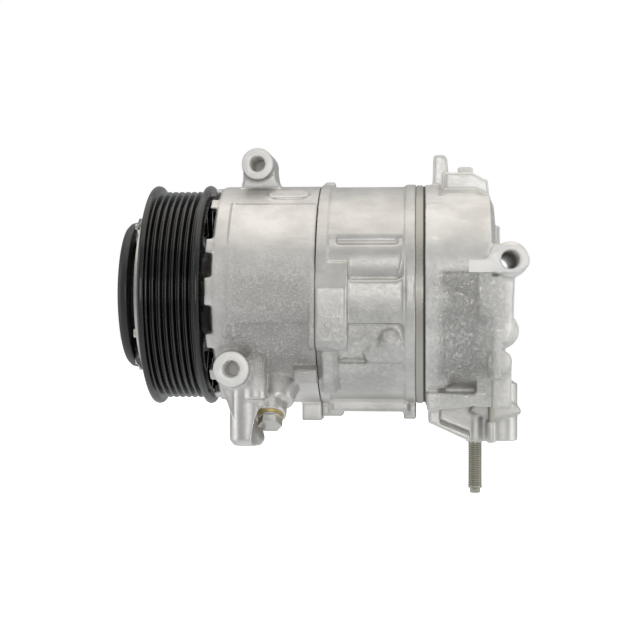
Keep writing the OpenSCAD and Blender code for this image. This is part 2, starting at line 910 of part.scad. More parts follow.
module swash_circlip() {
    color([0.45, 0.45, 0.46])
        difference() {
            xring(13.2, shaft_r, 90.2, 91.6);
            box(89, 93, -2.5, 2.5, -15, -5);
        }
}

module piston(i) {
    color([0.70, 0.71, 0.73])
        at(cyl_a0 + (i - 1) * cyl_step, cyl_pcr, 0)
            difference() {
                union() {
                    xcyl(bore_r - piston_clear, 95, 131.6);
                    xcyl(11, 87, 96);
                    xcyl(9, 66, 73);
                    // bridge over the rim of the swash plate
                    intersection() {
                        translate([66, -9, 5])
                            cube([27.4, 18, 12]);
                        translate([0, 0, -cyl_pcr])
                            xring(54.4, 42, 65, 95);
                    }
                }
                // room for the swash plate rim
                translate([0, 0, -cyl_pcr])
                    xcyl(48.4, 72.5, 87.5);
                translate([swash_x, 0, 0])
                    sphere(r = shoe_r + 0.02);
                // hollow head
                xcyl(9, 98, 126);
                // ring groove
                xring(bore_r + 1, bore_r - 0.9, 127, 128.6);
            }
}

module piston_1() { piston(1); }
module piston_2() { piston(2); }
module piston_3() { piston(3); }
module piston_4() { piston(4); }
module piston_5() { piston(5); }
module piston_6() { piston(6); }
module piston_7() { piston(7); }

module shoes() {
    color([0.76, 0.77, 0.79])
        for (i = [0 : cyl_n - 1])
            at(cyl_a0 + i * cyl_step, cyl_pcr, 0)
                difference() {
                    translate([swash_x, 0, 0])
                        sphere(r = shoe_r);
                    translate([swash_x0 - 0.03, -10, -10])
                        cube([swash_t + 0.06, 20, 20]);
                }
}

// ---------------------------------------------------------------- pulley and hub

module pulley() {
    g0 = -rib_span / 2;
    root = rib_r - groove_depth;
    color([0.07, 0.07, 0.08])
        difference() {
            lathe(concat(
                [[pb_ro, pulley_x0 + 4], [36, pulley_x0 + 4], [40, pulley_x0 + 7],
                    [50, pulley_x0 + 7], [54, pulley_x0 + 3.2], [54, pulley_x0 + 0.8],
                    [54.8, pulley_x0], [rim_r - 2, pulley_x0], [rim_r - 0.6, pulley_x0 + 0.6],
                    [rim_r, pulley_x0 + 2], [rim_r - 0.5, g0 - 1.0], [rib_r, g0 - 0.2]],
                [for (i = [0 : groove_n - 1]) for (j = [0 : 3])
                    [j == 0 || j == 3 ? rib_r : root,
                        g0 + groove_pitch * (i + [0.14, 0.42, 0.58, 0.86][j])]],
                [[rib_r, -g0 + 0.2], [rim_r - 0.5, -g0 + 1.0], [rim_r, pulley_x1 - 2],
                    [rim_r - 0.6, pulley_x1 - 0.6], [rim_r - 2, pulley_x1], [54.8, pulley_x1],
                    [54, pulley_x1 - 0.8], [53, pulley_x0 + 13], [38, pulley_x0 + 13],
                    [36, pulley_x1 - 6], [pb_ro, pulley_x1 - 6]]));
            // holes through the web
            for (i = [0 : 6])
                at(i * 360 / 7, 45.5, 0)
                    xcyl(4, pulley_x0, 0);
        }
    color([0.07, 0.07, 0.08])
        for (i = [0 : 13])
            at(i * 360 / 14, 0, 0)
                translate([pulley_x0 + 12.5, -1.3, 36.5])
                    cube([pulley_len - 14.5, 2.6, 17.8]);
}

module bolt_ring(n, r, x0, x1, rr, a0) {
    for (i = [0 : n - 1])
        at(a0 + i * 360 / n, r, 0)
            xcyl(rr, x0, x1);
}

module drive_ring() {
    color([0.76, 0.76, 0.74])
        difference() {
            union() {
                xring(46, 40.5, -21.5, -18.2);
                // three feet that reach the pulley web
                bolt_ring(3, 43.5, -19, pulley_x0 + 7, 3.2, 0);
            }
            bolt_ring(3, 43.5, -30, 0, 1.6, 0);
            bolt_ring(3, 43, -30, 0, 1.3, 30);
        }
}

module hub_plate() {
    color([0.72, 0.72, 0.70])
        difference() {
            union() {
                xring(11.5, 6, -27.5, -13.2);
                xring(31, 6, -24.2, -21.6);
                // three spokes out to the drive ring
                for (a = [30, 150, 270])
                    at(a, 0, 0)
                        translate([-24.2, -7, 28])
                            cube([2.6, 14, 17.4]);
            }
            xcyl(8, -22, -10);
            bolt_ring(6, 25.5, -30, 0, 2, 0);
            bolt_ring(3, 43, -30, 0, 1.3, 30);
        }
}

module hub_rivets() {
    color([0.66, 0.66, 0.64]) {
        bolt_ring(6, 25.5, -26.4, -19.8, 2, 0);
        bolt_ring(6, 25.5, -21.6, -19.8, 3.6, 0);
        bolt_ring(3, 43, -24.6, -19.6, 1.3, 30);
        bolt_ring(3, 43, -25.2, -24.2, 2.4, 30);
        bolt_ring(3, 43.5, -22.8, pulley_x0 + 7, 1.6, 0);
        bolt_ring(3, 43.5, -22.8, -21.5, 2.6, 0);
    }
}

module damper_rubber() {
    color([0.09, 0.09, 0.09])
        difference() {
            xring(30.5, 13, -26.4, -24.2);
            bolt_ring(6, 25.5, -30, 0, 2, 0);
        }
}

module hub_cover() {
    color([0.10, 0.10, 0.11])
        difference() {
            lathe([[12, -30.5], [14, -32.5], [36.5, -32.5], [39.5, -31.8], [41, -30.3],
                [cover_r, -28.5], [cover_r, -26.5], [38.5, -25.6], [36, -26.4], [12, -26.4]]);
            // shallow dish in the front
            xring(33, 17, -33, -31.4);
        }
}

module centre_nut() {
    color([0.62, 0.62, 0.58]) {
        difference() {
            xring(10.6, 5.9, -28.6, -27.5);
            xcyl(6, -30, -20);
        }
        difference() {
            translate([-31.6, 0, 0])
                rotate([0, 90, 0])
                    cylinder(r = 9.2, h = 3.1, $fn = 6);
            xcyl(6, -35, -20);
        }
    }
}

// ---------------------------------------------------------------- valves

module control_valve_body() {
    color([0.66, 0.66, 0.66])
        difference() {
            union() {
                ycyl(valve_x, valve_z, 6.3, -9.5, 5);
                ycyl(valve_x, valve_z, 7.8, 4.2, 34);
                ycyl(valve_x, valve_z, 11, 34, 52);
                // connector tower with its latch
                box(154.5, 165.5, 40, 50, 60, 73);
                box(157.5, 162.5, 49, 51.6, 65, 72);
            }
            // spool bore, spring chamber and ports
            ycyl(valve_x, valve_z, 2.53, -12, 14);
            ycyl(valve_x, valve_z, 4.2, 13.2, 30);
            zcyl(156.3, -7, 1.2, 48, valve_z);
            translate([0, 0.6, valve_z])
                xcyl(1.2, 150, valve_x);
            box(156, 164, 41.5, 48.5, 69.8, 74);
        }
}

module control_valve_seals() {
    color([0.10, 0.10, 0.11]) {
        difference() {
            ycyl(valve_x, valve_z, 6.5, -3.6, -2);
            ycyl(valve_x, valve_z, 6.3, -5, 0);
        }
        difference() {
            ycyl(valve_x, valve_z, 8, 7, 9);
            ycyl(valve_x, valve_z, 7.8, 6, 10);
        }
        difference() {
            ycyl(valve_x, valve_z, 8, 28, 30);
            ycyl(valve_x, valve_z, 7.8, 27, 31);
        }
    }
}

module control_valve_plunger() {
    color([0.78, 0.79, 0.80]) {
        ycyl(valve_x, valve_z, 2.5, -8, 14.6);
        ycyl(valve_x, valve_z, 4.1, 14.2, 21);
    }
}

module control_valve_spring() {
    color([0.55, 0.56, 0.58])
        translate([valve_x, 21.2, valve_z])
            rotate([-90, 0, 0])
                coil(3.2, 0.4, 2.0, 4.2);
}

module check_valve_cage() {
    color([0.62, 0.62, 0.64])
        difference() {
            zcyl(discharge_x, discharge_y, check_r, -66, -50);
            zcyl(discharge_x, discharge_y, 5, -64.5, -51.2);
            zcyl(discharge_x, discharge_y, 3.4, -70, -60);
            zcyl(discharge_x, discharge_y, 3.2, -55, -49);
        }
}

module check_valve_poppet() {
    color([0.78, 0.79, 0.80])
        difference() {
            union() {
                zcyl(discharge_x, discharge_y, 4.95, -54.2, -51.22);
                zcyl(discharge_x, discharge_y, 2, -58, -54);
            }
            // flutes the gas flows through
            for (i = [0 : 3])
                translate([discharge_x, discharge_y, 0])
                    rotate([0, 0, 90 * i])
                        zcyl(5, 0, 1.1, -56, -50);
        }
}

module check_valve_spring() {
    color([0.55, 0.56, 0.58])
        translate([discharge_x, discharge_y, -64.45])
            coil(3.6, 0.4, 2.3, 4.4);
}

module relief_valve_body() {
    color([0.70, 0.66, 0.50])
        translate([0, 0, relief_z])
            difference() {
                union() {
                    xcyl(6, 160, rear_end);
                    translate([rear_end, 0, 0])
                        rotate([0, 90, 0])
                            cylinder(r = 7.6, h = 5, $fn = 6);
                    xcyl(5, 180, 184);
                }
                xcyl(3.5, 163.5, 179.2);
                xcyl(2.2, 179, 185);
                xcyl(2, 155, 170);
            }
}

module relief_valve_poppet() {
    color([0.78, 0.79, 0.80])
        translate([0, 0, relief_z]) {
            xcyl(3.45, 163.5, 167);
            xcyl(1.4, 167, 169.5);
        }
}

module relief_valve_spring() {
    color([0.55, 0.56, 0.58])
        translate([167.2, 0, relief_z])
            rotate([0, 90, 0])
                coil(2.6, 0.4, 2.2, 5.4);
}

front_housing();
cylinder_block();
rear_housing();
valve_plate();
suction_reed_plate();
discharge_reed_plate();
retainer_gasket();
seam_o_ring();
through_bolts();
oil_plug();
oil_plug_washer();
port_stud();
port_pin();
top_cap();
shaft_seal();
seal_snap_ring();
bearing_inner_ring();
bearing_outer_ring();
bearing_balls();
bearing_snap_ring();
front_needle_shell();
front_needle_cage();
rear_needle_shell();
rear_needle_cage();
front_thrust_washers();
front_thrust_cage();
rear_thrust_washers();
rear_thrust_cage();
shaft();
lug_plate();
hinge_pin();
swash_plate();
destroke_spring();
swash_circlip();
piston_1();
piston_2();
piston_3();
piston_4();
piston_5();
piston_6();
piston_7();
shoes();
pulley();
drive_ring();
hub_plate();
hub_cover();
damper_rubber();
hub_rivets();
centre_nut();
control_valve_body();
control_valve_seals();
control_valve_plunger();
control_valve_spring();
check_valve_cage();
check_valve_poppet();
check_valve_spring();
relief_valve_body();
relief_valve_poppet();
relief_valve_spring();
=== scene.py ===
"""Refrigerant compressor with a seven-groove pulley: materials, refined castings, camera and studio."""
import json
import math

import bmesh
import bpy
import numpy as np
from mathutils import Matrix, Vector


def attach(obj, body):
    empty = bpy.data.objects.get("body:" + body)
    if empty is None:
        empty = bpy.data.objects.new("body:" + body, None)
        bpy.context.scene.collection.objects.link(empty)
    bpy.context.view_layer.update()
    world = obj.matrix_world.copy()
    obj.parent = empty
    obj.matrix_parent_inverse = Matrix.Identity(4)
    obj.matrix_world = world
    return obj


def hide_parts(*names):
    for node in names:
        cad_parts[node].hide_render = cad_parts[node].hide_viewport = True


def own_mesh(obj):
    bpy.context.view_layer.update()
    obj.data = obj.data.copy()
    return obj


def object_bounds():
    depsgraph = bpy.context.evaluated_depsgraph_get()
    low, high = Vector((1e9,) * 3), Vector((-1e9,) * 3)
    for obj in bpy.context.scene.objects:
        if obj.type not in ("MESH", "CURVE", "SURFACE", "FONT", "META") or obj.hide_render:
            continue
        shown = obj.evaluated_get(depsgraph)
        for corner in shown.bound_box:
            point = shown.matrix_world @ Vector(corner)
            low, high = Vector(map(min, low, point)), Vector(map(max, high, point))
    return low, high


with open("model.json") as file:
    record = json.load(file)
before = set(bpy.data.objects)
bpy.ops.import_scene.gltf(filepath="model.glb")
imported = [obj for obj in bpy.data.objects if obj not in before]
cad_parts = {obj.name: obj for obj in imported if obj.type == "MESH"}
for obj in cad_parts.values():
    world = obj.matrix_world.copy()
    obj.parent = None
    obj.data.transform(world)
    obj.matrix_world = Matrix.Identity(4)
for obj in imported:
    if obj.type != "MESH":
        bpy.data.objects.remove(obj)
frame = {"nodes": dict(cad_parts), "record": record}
NODES = frame["nodes"]
cad_low, cad_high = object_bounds()
MM = 0.001

# ------------------------------------------------------------------ materials


class Shader:
    """Short calls for building one node material."""

    def __init__(self, name, color, metallic, roughness):
        self.material = bpy.data.materials.new(name)
        self.material.use_nodes = True
        self.tree = self.material.node_tree
        self.bsdf = next(n for n in self.tree.nodes if n.type == "BSDF_PRINCIPLED")
        self.bsdf.inputs["Base Color"].default_value = (*color, 1)
        self.bsdf.inputs["Metallic"].default_value = metallic
        self.bsdf.inputs["Roughness"].default_value = roughness
        self.coords = self.tree.nodes.new("ShaderNodeTexCoord")

    def node(self, kind, **values):
        made = self.tree.nodes.new(kind)
        for key, value in values.items():
            if key in made.inputs:
                made.inputs[key].default_value = value
            else:
                setattr(made, key, value)
        return made

    def link(self, out, into):
        self.tree.links.new(out, into)

    def scaled(self, stretch):
        mapping = self.node("ShaderNodeMapping")
        mapping.inputs["Scale"].default_value = stretch
        self.link(self.coords.outputs["Object"], mapping.inputs["Vector"])
        return mapping.outputs["Vector"]

    def noise(self, scale, detail=3.0, roughness=0.55, stretch=(1, 1, 1)):
        made = self.node("ShaderNodeTexNoise", Scale=scale, Detail=detail, Roughness=roughness)
        self.link(self.scaled(stretch), made.inputs["Vector"])
        return made.outputs["Fac"]

    def cells(self, scale):
        made = self.node("ShaderNodeTexVoronoi", Scale=scale)
        self.link(self.scaled((1, 1, 1)), made.inputs["Vector"])
        return made.outputs["Distance"]

    def spread(self, value, from_low, from_high, to_low, to_high):
        made = self.node("ShaderNodeMapRange")
        for key, number in (("From Min", from_low), ("From Max", from_high),
                            ("To Min", to_low), ("To Max", to_high)):
            made.inputs[key].default_value = number
        self.link(value, made.inputs["Value"])
        return made.outputs["Result"]

    def mix(self, factor, first, second):
        made = self.node("ShaderNodeMix", data_type="RGBA")
        for socket, value in ((made.inputs[0], factor), (made.inputs[6], first), (made.inputs[7], second)):
            if isinstance(value, bpy.types.NodeSocket):
                self.link(value, socket)
            elif isinstance(value, tuple):
                socket.default_value = (*value, 1)
            else:
                socket.default_value = value
        return made.outputs[2]

    def times(self, first, second):
        made = self.node("ShaderNodeMath", operation="MULTIPLY")
        for socket, value in zip(made.inputs, (first, second)):
            if isinstance(value, bpy.types.NodeSocket):
                self.link(value, socket)
            else:
                socket.default_value = value
        return made.outputs[0]

    def within(self, low, high, soft):
        """1 inside a box of the object's own space and 0 outside it, fading over a soft border."""
        split = self.node("ShaderNodeSeparateXYZ")
        self.link(self.coords.outputs["Object"], split.inputs[0])
        mask = None
        for axis, (a, b) in enumerate(zip(low, high)):
            for start, end in ((a - soft, a + soft), (b + soft, b - soft)):
                edge = self.spread(split.outputs[axis], start, end, 0, 1)
                mask = edge if mask is None else self.times(mask, edge)
        return mask

    def bump(self, height, distance, strength=1.0, below=None):
        made = self.node("ShaderNodeBump", Strength=strength, Distance=distance)
        self.link(height, made.inputs["Height"])
        if below is not None:
            self.link(below, made.inputs["Normal"])
        self.link(made.outputs["Normal"], self.bsdf.inputs["Normal"])
        return made.outputs["Normal"]

    def color(self, value):
        self.link(value, self.bsdf.inputs["Base Color"])

    def roughness(self, value):
        self.link(value, self.bsdf.inputs["Roughness"])


def cast_aluminium(name, tint, metallic, rough, coarse_box, coarse_scale, coarse_height, contrast,
                   fleck_edge=0.62):
    """Die-cast skin: soft flow marks everywhere, and a coarse etched grain inside one region."""
    s = Shader(name, tint, metallic, rough)
    dark = tuple(c * 0.80 for c in tint)
    light = tuple(min(1.0, c * 1.05) for c in tint)
    flow = s.noise(34, 5, 0.62, (1, 1, 1.6))
    fine = s.noise(700, 3, 0.6)
    grain = s.noise(2200, 2, 0.5)
    coarse = s.within(*coarse_box, 0.010)
    flecks = s.noise(coarse_scale, 4, 0.68)
    etched = s.times(coarse, s.spread(flecks, 0.40, 0.60, 0, 1))
    tone = s.mix(s.spread(flow, 0.36, 0.64, 0, 1), dark, light)
    tone = s.mix(s.times(coarse, s.spread(flecks, fleck_edge, fleck_edge - 0.18, 0, contrast)), tone,
                 tuple(c * 0.50 for c in tint))
    pits = s.spread(s.cells(900), 0.03, 0.16, 0.7, 1.0)
    s.color(s.mix(pits, tuple(c * 0.5 for c in tint), tone))
    s.roughness(s.spread(fine, 0.3, 0.7, rough - 0.06, rough + 0.10))
    skin = s.bump(grain, 0.00004, 0.5, s.bump(fine, 0.00012, 0.5))
    s.bump(etched, coarse_height, 0.8, s.bump(flow, 0.0006, 0.35, skin))
    return s.material


def machined_aluminium():
    s = Shader("machined_aluminium", (0.93, 0.92, 0.90), 0.25, 0.42)
    rings = s.noise(2600, 2, 0.5, (1, 0.15, 1))
    s.color(s.mix(s.spread(rings, 0.35, 0.65, 0, 1), (0.86, 0.85, 0.82), (0.96, 0.95, 0.92)))
    s.roughness(s.spread(rings, 0.3, 0.7, 0.36, 0.52))
    s.bump(rings, 0.00002, 0.4)
    return s.material


def steel(name, tint, rough, scale=900, stretch=(1, 1, 1), bump=0.00002):
    s = Shader(name, tint, 1.0, rough)
    streak = s.noise(scale, 3, 0.55, stretch)
    s.color(s.mix(s.spread(streak, 0.3, 0.7, 0, 1), tuple(c * 0.88 for c in tint), tint))
    s.roughness(s.spread(streak, 0.3, 0.7, max(0.05, rough - 0.08), rough + 0.1))
    s.bump(streak, bump, 0.4)
    return s.material


def black_paint(name, tint, rough, coat):
    s = Shader(name, tint, 0.0, rough)
    s.bsdf.inputs["Coat Weight"].default_value = coat
    s.bsdf.inputs["Coat Roughness"].default_value = 0.14
    dust = s.noise(120, 4, 0.6)
    peel = s.noise(700, 2, 0.5)
    s.color(s.mix(s.spread(dust, 0.42, 0.75, 0, 1), tint, tuple(c + 0.012 for c in tint)))
    s.roughness(s.spread(dust, 0.3, 0.7, rough - 0.05, rough + 0.12))
    s.bump(peel, 0.00003, 0.35)
    return s.material


def rubber(name, tint):
    s = Shader(name, tint, 0.0, 0.65)
    speck = s.noise(900, 3, 0.6)
    s.color(s.mix(s.spread(speck, 0.35, 0.65, 0, 1), tint, tuple(c + 0.02 for c in tint)))
    s.roughness(s.spread(speck, 0.3, 0.7, 0.55, 0.75))
    s.bump(speck, 0.00004, 0.5)
    return s.material


def plastic(name, tint, rough):
    s = Shader(name, tint, 0.0, rough)
    grain = s.noise(1100, 2, 0.5)
    s.color(s.mix(s.spread(grain, 0.35, 0.65, 0, 1), tint, tuple(c * 0.92 for c in tint)))
    s.roughness(s.spread(grain, 0.3, 0.7, rough - 0.05, rough + 0.08))
    s.bump(grain, 0.00002, 0.4)
    return s.material


FRONT_COARSE = ((0.028, -0.075, -0.045), (0.080, -0.030, 0.016))
REAR_COARSE = ((0.143, -0.075, -0.056), (0.1725, -0.030, 0.010))
BLOCK_COARSE = ((0.079, -0.075, -0.060), (0.128, -0.030, -0.012))
CAST_FRONT = cast_aluminium("cast_front", (0.74, 0.725, 0.70), 0.88, 0.36, FRONT_COARSE, 900, 0.0004, 0.6)
# Same cast aluminium as the front housing, with a lighter tint (0.80 against 0.74). The raised tint is
# painted light: it brightens the rear housing's front-facing faces and the shaded ledge under its panel. Its
# coarse curly grain is its own.
CAST_REAR_PAINTED_LIGHT = cast_aluminium("cast_rear_painted_light", (0.80, 0.79, 0.76), 0.66, 0.37, REAR_COARSE, 460, 0.0011, 0.95, 0.53)
CAST_BLOCK = cast_aluminium("cast_block", (0.68, 0.67, 0.64), 0.80, 0.36, BLOCK_COARSE, 420, 0.0002, 0.35)
MACHINED = machined_aluminium()
MATERIALS = {
    "plate_steel": steel("blued_plate", (0.50, 0.48, 0.43), 0.42),
    "reed_steel": steel("reed_steel", (0.42, 0.42, 0.43), 0.3, 600, (1, 6, 1)),
    "gasket_black": rubber("gasket_black", (0.035, 0.035, 0.035)),
    "zinc_steel": steel("zinc_steel", (0.62, 0.62, 0.58), 0.34),
    "bearing_steel": steel("bearing_steel", (0.70, 0.71, 0.73), 0.16, 500, (8, 1, 1)),
    "washer_gold": steel("washer_gold", (0.72, 0.58, 0.24), 0.34),
    "stud_steel": steel("stud_steel", (0.50, 0.49, 0.42), 0.32, 700, (1, 1, 5)),
    "cap_plastic": plastic("cap_plastic", (0.85, 0.85, 0.82), 0.45),
    "pulley_black": black_paint("pulley_black", (0.004, 0.004, 0.004), 0.20, 0.35),
    "hub_black": black_paint("hub_black", (0.012, 0.012, 0.013), 0.38, 0.15),
    "damper_rubber": rubber("damper_rubber", (0.02, 0.02, 0.02)),
    "bronze_plate": steel("bronze_plate", (0.52, 0.44, 0.28), 0.35),
    "piston_aluminium": steel("piston_aluminium", (0.74, 0.75, 0.77), 0.25, 700, (8, 1, 1)),
    "cast_aluminium": CAST_FRONT,
    "block_aluminium": CAST_BLOCK,
}


def shade_by_angle(mesh, degrees):
    for polygon in mesh.polygons:
        polygon.use_smooth = True
    mesh.set_sharp_from_angle(angle=math.radians(degrees))


def dress(obj, material):
    if len(obj.material_slots) == 0:
        obj.data.materials.append(material)
    for slot in obj.material_slots:
        slot.link = "OBJECT"
        slot.material = material


SLOTS = {part["node"]: part["material_slot"] for part in frame["record"]["subparts"]}
for node, slot_name in SLOTS.items():
    dress(NODES[node], MATERIALS[slot_name])
# The rear housing takes the lighter copy of cast aluminium, whose raised tint is painted light.
dress(NODES["rear_housing"], CAST_REAR_PAINTED_LIGHT)

# ------------------------------------------------------------------ castings


def finish_casting(node, body, voxel, rounds, fills, cuts):
    """A copy of a casting with its edges rounded as cast, then bored and faced again."""
    bm = bmesh.new()
    bm.from_mesh(NODES[node].data)
    bmesh.ops.remove_doubles(bm, verts=bm.verts, dist=2e-6)
    for start, end, radius in fills:
        add_rod(bm, start, end, radius)
    mesh = bpy.data.meshes.new(node + "_cast")
    bm.to_mesh(mesh)
    bm.free()
    piece = bpy.data.objects.new(node + "_cast", mesh)
    bpy.context.scene.collection.objects.link(piece)
    remesh = piece.modifiers.new("skin", "REMESH")
    remesh.mode = "VOXEL"
    remesh.voxel_size = voxel
    bake_modifiers(piece)
    relax(piece.data, rounds)
    piece.data.materials.clear()
    piece.data.materials.append(NODES[node].material_slots[0].material)
    cutter = make_cutter(node + "_cutter", cuts)
    if cutter is not None:
        cut = piece.modifiers.new("machining", "BOOLEAN")
        cut.operation = "DIFFERENCE"
        cut.object = cutter
        cut.solver = "MANIFOLD"
        cut.material_mode = "TRANSFER"
        bake_modifiers(piece)
        bpy.data.objects.remove(cutter)
    shade_by_angle(piece.data, 38)
    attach(piece, body)
    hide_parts(node)
    return piece


def bake_modifiers(obj):
    graph = bpy.context.evaluated_depsgraph_get()
    baked = bpy.data.meshes.new_from_object(obj.evaluated_get(graph), depsgraph=graph)
    obj.modifiers.clear()
    old = obj.data
    obj.data = baked
    bpy.data.meshes.remove(old)


def relax(mesh, rounds):
    """Moves every vertex toward its neighbours, which rounds edges like a sand or die casting."""
    count = len(mesh.vertices)
    co = np.empty(count * 3)
    mesh.vertices.foreach_get("co", co)
    co = co.reshape(-1, 3)
    edges = np.empty(len(mesh.edges) * 2, np.int64)
    mesh.edges.foreach_get("vertices", edges)
    a, b = edges.reshape(-1, 2).T
    degree = np.bincount(a, minlength=count) + np.bincount(b, minlength=count)
    for _ in range(rounds):
        for step in (0.6, -0.35):
            total = np.zeros_like(co)
            for axis in range(3):
                total[:, axis] = (np.bincount(a, co[b, axis], count) + np.bincount(b, co[a, axis], count))
            co += step * (total / degree[:, None] - co)
    mesh.vertices.foreach_set("co", co.ravel())
    mesh.update()


def add_rod(bm, start, end, radius, sides=96):
    start, end = Vector(start), Vector(end)
    way = end - start
    turn = way.to_track_quat("Z", "Y").to_matrix().to_4x4()
    place = Matrix.Translation((start + end) / 2) @ turn
    made = bmesh.ops.create_cone(bm, cap_ends=True, cap_tris=False, segments=sides, radius1=radius,
                                 radius2=radius, depth=way.length, matrix=place)
    return made["verts"]


def make_cutter(name, cuts):
    if not cuts:
        return None
    bm = bmesh.new()
    for kind, *numbers in cuts:
        if kind == "rod":
            add_rod(bm, *numbers)
        else:
            low, high = map(Vector, numbers)
            place = Matrix.Translation((low + high) / 2) @ Matrix.Diagonal((*(high - low), 1))
            bmesh.ops.create_cube(bm, size=1, matrix=place)
    mesh = bpy.data.meshes.new(name)
    bm.to_mesh(mesh)
    bm.free()
    mesh.materials.append(MACHINED)
    cutter = bpy.data.objects.new(name, mesh)
    bpy.context.scene.collection.objects.link(cutter)
    cutter.hide_render = True
    return cutter


def mm(*values):
    return tuple(v * MM for v in values)


CAST_VOXEL = 0.7 * MM
THREAD_R = 4.25 * MM
THREAD_FILL_R = 4.8 * MM
BORE_R = 5.0 * MM
BORE_FILL_R = 5.6 * MM
EAR_TOP_X, EAR_TOP_Z = 43.5, 72.7
EAR_LOW_X, EAR_LOW_Z = 33.8, -40.8
EAR_REAR_X, EAR_REAR_Z = 181.8, 17.3
TOP_FACE_Y = -21.8
LOW_FACE_Y = -59.8
REAR_FACE_Y = -59.8


def ear_rod(x, z, y0, y1):
    """Ends of a rod along Y through an ear."""
    return mm(x, y0, z), mm(x, y1, z)


finish_casting("front_housing", "casing", CAST_VOXEL, 7,
               [(*ear_rod(EAR_TOP_X, EAR_TOP_Z, -20, 3), THREAD_FILL_R),
                (*ear_rod(EAR_LOW_X, EAR_LOW_Z, -58, -39), THREAD_FILL_R)],
               [("rod", *ear_rod(EAR_TOP_X, EAR_TOP_Z, -30, 4), THREAD_R),
                ("rod", *ear_rod(EAR_LOW_X, EAR_LOW_Z, -70, -38), THREAD_R),
                ("box", mm(20, -30, 62), mm(60, TOP_FACE_Y, 90)),
                ("box", mm(10, -66, -60), mm(60, LOW_FACE_Y, -20))])
finish_casting("cylinder_block", "casing", CAST_VOXEL, 6, [], [])
finish_casting("rear_housing", "casing", CAST_VOXEL, 7,
               [(*ear_rod(EAR_REAR_X, EAR_REAR_Z, -58, 58), BORE_FILL_R)],
               [("rod", *ear_rod(EAR_REAR_X, EAR_REAR_Z, -80, 80), BORE_R),
                ("box", mm(160, -70, 0), mm(200, REAR_FACE_Y, 40))])

# ------------------------------------------------------------------ turned, threaded and small parts


def new_piece(name, vertices, faces, node, body, sharp):
    """A finished piece that stands for a node, in that node's material and slot."""
    mesh = bpy.data.meshes.new(name)
    mesh.from_pydata(vertices, [], faces)
    mesh.update()
    bm = bmesh.new()
    bm.from_mesh(mesh)
    bmesh.ops.recalc_face_normals(bm, faces=bm.faces)
    bm.to_mesh(mesh)
    bm.free()
    mesh.materials.append(MATERIALS[SLOTS[node]])
    piece = bpy.data.objects.new(name, mesh)
    bpy.context.scene.collection.objects.link(piece)
    shade_by_angle(mesh, sharp)
    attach(piece, body)
    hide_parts(node)
    return piece


def rounded(profile, radius, steps=3):
    """The closed outline with every corner replaced by a small arc."""
    count = len(profile)
    done = []
    for i in range(count):
        before, here, after = (Vector(profile[(i + k) % count]) for k in (-1, 0, 1))
        reach = min(radius, 0.4 * (before - here).length, 0.4 * (after - here).length)
        start = here + (before - here).normalized() * reach
        end = here + (after - here).normalized() * reach
        for k in range(steps + 1):
            t = k / steps
            done.append(tuple((1 - t) ** 2 * start + 2 * t * (1 - t) * here + t ** 2 * end))
    return done


def lathe(profile, segments):
    """Vertices and faces of a closed [radius, x] outline turned about the shaft axis."""
    vertices, faces = [], []
    count = len(profile)
    for i in range(segments):
        angle = 2 * math.pi * i / segments
        for radius, x in profile:
            vertices.append((x, -radius * math.sin(angle), radius * math.cos(angle)))
    for i in range(segments):
        for j in range(count):
            a, b = i * count + j, i * count + (j + 1) % count
            shift = ((i + 1) % segments) * count - i * count
            faces.append((a, b, b + shift, a + shift))
    return vertices, faces


RIM_R = 62.5
RIB_R = 59.0
GROOVE_PITCH = 3.56
GROOVE_DEPTH = 3.2
GROOVES = 7
PULLEY_END = 17.0
BEARING_R = 31.0
PULLEY_SEGMENTS = 288
WEB_HOLES = 7
WEB_HOLE_RING_R = 45.5
WEB_HOLE_R = 4.0
VANES = 14


def pulley_profile():
    """Outline of the pulley in millimetres, as [radius, x], with its belt grooves."""
    first = -GROOVES * GROOVE_PITCH / 2
    root = RIB_R - GROOVE_DEPTH
    front = [(BEARING_R, -13), (36, -13), (40, -10), (50, -10), (54, -13.8), (54, -16.2), (54.8, -PULLEY_END),
             (RIM_R - 2, -PULLEY_END), (RIM_R - 0.6, -16.4), (RIM_R, -15), (RIM_R - 0.5, first - 1.0),
             (RIB_R, first - 0.2)]
    grooves = []
    for i in range(GROOVES):
        for share, radius in ((0.14, RIB_R), (0.42, root), (0.58, root), (0.86, RIB_R)):
            grooves.append((radius, first + GROOVE_PITCH * (i + share)))
    back = [(RIB_R, 0.2 - first), (RIM_R - 0.5, 1.0 - first), (RIM_R, 15), (RIM_R - 0.6, 16.4),
            (RIM_R - 2, PULLEY_END), (54.8, PULLEY_END), (54, 16.2), (53, -4), (38, -4), (36, 11),
            (BEARING_R, 11)]
    return front + grooves + back


def build_pulley():
    """The grooved pulley with rounded ribs, the round holes of its web and the vanes behind it."""
    outline = rounded(pulley_profile(), 0.45)
    vertices, faces = lathe([mm(*point) for point in outline], PULLEY_SEGMENTS)
    piece = new_piece("pulley_turned", vertices, faces, "pulley", "rotor", 40)
    holes = bmesh.new()
    for i in range(WEB_HOLES):
        angle = 2 * math.pi * i / WEB_HOLES
        y, z = -WEB_HOLE_RING_R * math.sin(angle), WEB_HOLE_RING_R * math.cos(angle)
        add_rod(holes, mm(-30, y, z), mm(5, y, z), WEB_HOLE_R * MM, 48)
    cut_with(piece, holes, "DIFFERENCE")
    vanes = bmesh.new()
    for i in range(VANES):
        turn = Matrix.Rotation(2 * math.pi * i / VANES, 4, "X")
        low, high = Vector(mm(-4.5, -1.3, 36.5)), Vector(mm(15, 1.3, 54.2))
        place = turn @ Matrix.Translation((low + high) / 2) @ Matrix.Diagonal((*(high - low), 1))
        bmesh.ops.create_cube(vanes, size=1, matrix=place)
    cut_with(piece, vanes, "UNION")
    shade_by_angle(piece.data, 40)


